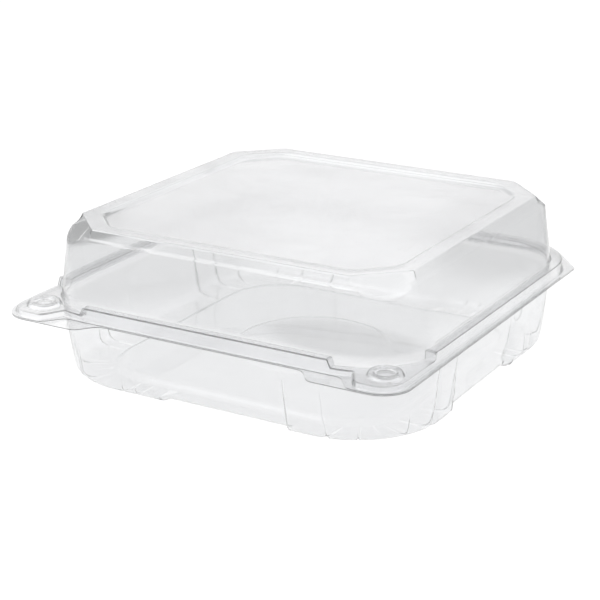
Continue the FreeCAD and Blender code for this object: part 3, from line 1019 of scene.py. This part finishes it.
def make_floor(shade):
    """Floor that is white to the camera, keeps a faint shadow and is a lit table in reflections."""
    bpy.ops.mesh.primitive_plane_add(size=FLOOR_SIZE, location=(0, 0, 0))
    floor = bpy.context.object
    floor.name = "studio_floor"
    material = bpy.data.materials.new("studio_floor")
    nodes, links = empty_tree(material)
    place = nodes.new("ShaderNodeTexCoord")
    distance = length_of(nodes, links, place.outputs["Object"])
    edge = smooth_ramp(nodes, links, distance, TABLE_LIT_TO, TABLE_DARK_FROM, 1.0, TABLE_DARK)
    through = ray_mask(nodes, links, ["Is Transmission Ray"])
    mirrored = blended(nodes, links, through, ray_mask(nodes, links, ["Is Glossy Ray"]), 0.0)
    level = blended(nodes, links, mirrored, 1.0, edge)
    # Painted shade: oval spots darken the floor for rays that come through the plastic
    for name, middle, radii, depth in SHADE_SPOTS:
        level = shaded_spot(nodes, links, place.outputs["Object"], through, level, name, middle, radii, depth)
    seen = ray_mask(nodes, links, ["Is Camera Ray", "Is Glossy Ray", "Is Transmission Ray"])
    matte = nodes.new("ShaderNodeBsdfDiffuse")
    links.new(math_node(nodes, links, "MULTIPLY", level, shade), matte.inputs["Color"])
    glow = nodes.new("ShaderNodeEmission")
    glow_level = blended(nodes, links, seen, 0.0, FLOOR_GLOW)
    links.new(math_node(nodes, links, "MULTIPLY", level, glow_level), glow.inputs["Strength"])
    both = nodes.new("ShaderNodeAddShader")
    links.new(matte.outputs["BSDF"], both.inputs[0])
    links.new(glow.outputs["Emission"], both.inputs[1])
    output = nodes.new("ShaderNodeOutputMaterial")
    links.new(both.outputs["Shader"], output.inputs["Surface"])
    floor.data.materials.append(material)


def make_world():
    """Studio surround: white behind the pack, and a dark room under a pale ceiling in its reflections."""
    world = bpy.data.worlds.new("studio_surround")
    bpy.context.scene.world = world
    nodes, links = empty_tree(world)
    background = nodes.new("ShaderNodeBackground")
    background.inputs["Color"].default_value = (1.0, 1.0, 1.0, 1.0)
    place = nodes.new("ShaderNodeTexCoord")
    parts = nodes.new("ShaderNodeSeparateXYZ")
    links.new(place.outputs["Generated"], parts.inputs[0])
    rise = smooth_ramp(nodes, links, parts.outputs["Z"], *CEILING_RISE, ROOM_SHADE, CEILING_SHADE)
    direct = ray_mask(nodes, links, ["Is Camera Ray", "Is Transmission Ray"])
    mirrored = ray_mask(nodes, links, ["Is Glossy Ray"])
    strength = blended(nodes, links, mirrored, SURROUND_LIGHT, rise)
    links.new(blended(nodes, links, direct, strength, 1.0), background.inputs["Strength"])
    output = nodes.new("ShaderNodeOutputWorld")
    links.new(background.outputs["Background"], output.inputs["Surface"])


def make_card(name, location, width, height, strength):
    """Studio card beside the pack: only reflections show it."""
    bpy.ops.mesh.primitive_plane_add(size=1.0, location=location)
    card = bpy.context.object
    card.name = name
    card.scale = (width, height, 1.0)
    card.rotation_euler = (Vector(CARD_AIM) - Vector(location)).to_track_quat("Z", "Y").to_euler()
    material = bpy.data.materials.new(name)
    nodes, links = empty_tree(material)
    glow = nodes.new("ShaderNodeEmission")
    glow.inputs["Color"].default_value = (1.0, 1.0, 1.0, 1.0)
    glow.inputs["Strength"].default_value = strength
    output = nodes.new("ShaderNodeOutputMaterial")
    links.new(glow.outputs["Emission"], output.inputs["Surface"])
    card.data.materials.append(material)
    card.visible_camera = False
    card.visible_diffuse = False
    card.visible_transmission = False
    card.visible_shadow = False


def make_lamp(name, location, size, power):
    lamp_data = bpy.data.lights.new(name, "AREA")
    lamp_data.shape = "SQUARE"
    lamp_data.size = size
    lamp_data.energy = power
    lamp = bpy.data.objects.new(name, lamp_data)
    lamp.location = location
    lamp.rotation_euler = (-Vector(location)).to_track_quat("-Z", "Y").to_euler()
    bpy.context.scene.collection.objects.link(lamp)


def make_camera():
    azimuth = math.radians(CAMERA_AZIMUTH)
    elevation = math.radians(CAMERA_ELEVATION)
    level = math.cos(elevation)
    back = Vector((math.sin(azimuth) * level, -math.cos(azimuth) * level, math.sin(elevation)))
    right = Vector((math.cos(azimuth), math.sin(azimuth), 0.0))
    target = (Vector((0.0, PACK_Y, TARGET_Z_MM)) + right * TARGET_ACROSS_MM) * MM
    data = bpy.data.cameras.new("photo_camera")
    data.lens = CAMERA_LENS
    data.sensor_width = CAMERA_SENSOR
    camera = bpy.data.objects.new("photo_camera", data)
    camera.location = target + back * (CAMERA_DISTANCE_MM * MM)
    camera.rotation_euler = (target - camera.location).to_track_quat("-Z", "Y").to_euler()
    bpy.context.scene.collection.objects.link(camera)
    bpy.context.scene.camera = camera


class PackSettings(bpy.types.PropertyGroup):
    sheet: FloatProperty(name="Sheet", description="Thickness of the sheet", default=0.0003, unit="LENGTH")
    haze: FloatProperty(
        name="Haze", description="Roughness of the drawn sheet", default=0.06, subtype="FACTOR"
    )
    wave: FloatProperty(name="Waves", description="Strength of the faint waves in the sheet", default=0.12)
    tint: FloatVectorProperty(
        name="Tint", description="Colour of the clear sheet", default=(0.888, 0.892, 0.897), subtype="COLOR"
    )


class StudioSettings(bpy.types.PropertyGroup):
    floor_shade: FloatProperty(
        name="Floor", description="Brightness of the floor", default=0.8, subtype="FACTOR"
    )
    lamp_power: FloatProperty(name="Lamps", description="Power of the soft lamps", default=4.8, unit="POWER")


def sheet_material(name, haze_factor):
    settings = bpy.context.scene.clamshell_pack
    group = bpy.data.node_groups.get("drawn_sheet") or drawn_sheet_group()
    return clear_plastic(name, group, settings.tint, settings.haze * haze_factor, settings.wave)


class BuildTray(bpy.types.Operator):
    """Build the deep tray with its bead, flange and tabs"""

    bl_idname = "clamshell.tray"
    bl_label = "Tray"

    def execute(self, context):
        make_tray(sheet_material("tray_sheet", 1.0), context.scene.clamshell_pack.sheet)
        return {"FINISHED"}


class BuildLid(bpy.types.Operator):
    """Build the domed lid with its recessed top, flange and tabs"""

    bl_idname = "clamshell.lid"
    bl_label = "Lid"

    def execute(self, context):
        make_lid(sheet_material("lid_sheet", 1.0), context.scene.clamshell_pack.sheet)
        return {"FINISHED"}


class BuildHinge(bpy.types.Operator):
    """Build the thin strip of the living hinge"""

    bl_idname = "clamshell.hinge"
    bl_label = "Living hinge"

    def execute(self, context):
        make_hinge(sheet_material("hinge_sheet", HINGE_HAZE_FACTOR))
        return {"FINISHED"}


class BuildStage(bpy.types.Operator):
    """Build the floor, the surround, the lamps and the camera"""

    bl_idname = "clamshell.stage"
    bl_label = "Stage"

    def execute(self, context):
        settings = context.scene.clamshell_studio
        make_floor(settings.floor_shade)
        make_world()
        for name, location, size, share in LAMPS:
            make_lamp(name, location, size, settings.lamp_power * share)
        for card in CARDS:
            make_card(*card)
        make_camera()
        scene = context.scene
        scene.view_settings.view_transform = "Standard"
        return {"FINISHED"}


class ClamshellPanel(bpy.types.Panel):
    """Sidebar panel that lists the builders"""

    bl_idname = "VIEW3D_PT_clamshell"
    bl_label = "Clamshell pack"
    bl_space_type = "VIEW_3D"
    bl_region_type = "UI"
    bl_category = "Clamshell"

    def draw(self, context):
        for builder in BUILDERS:
            self.layout.operator(builder.bl_idname)


BUILDERS = (BuildStage, BuildTray, BuildLid, BuildHinge)
CLASSES = (PackSettings, StudioSettings) + BUILDERS + (ClamshellPanel,)


def register():
    for item in CLASSES:
        bpy.utils.register_class(item)
    bpy.types.Scene.clamshell_pack = PointerProperty(type=PackSettings)
    bpy.types.Scene.clamshell_studio = PointerProperty(type=StudioSettings)


def unregister():
    del bpy.types.Scene.clamshell_studio
    del bpy.types.Scene.clamshell_pack
    for item in reversed(CLASSES):
        bpy.utils.unregister_class(item)


def main():
    register()
    bpy.ops.clamshell.stage()
    bpy.ops.clamshell.tray()
    bpy.ops.clamshell.lid()
    bpy.ops.clamshell.hinge()


if __name__ == "__main__":
    main()
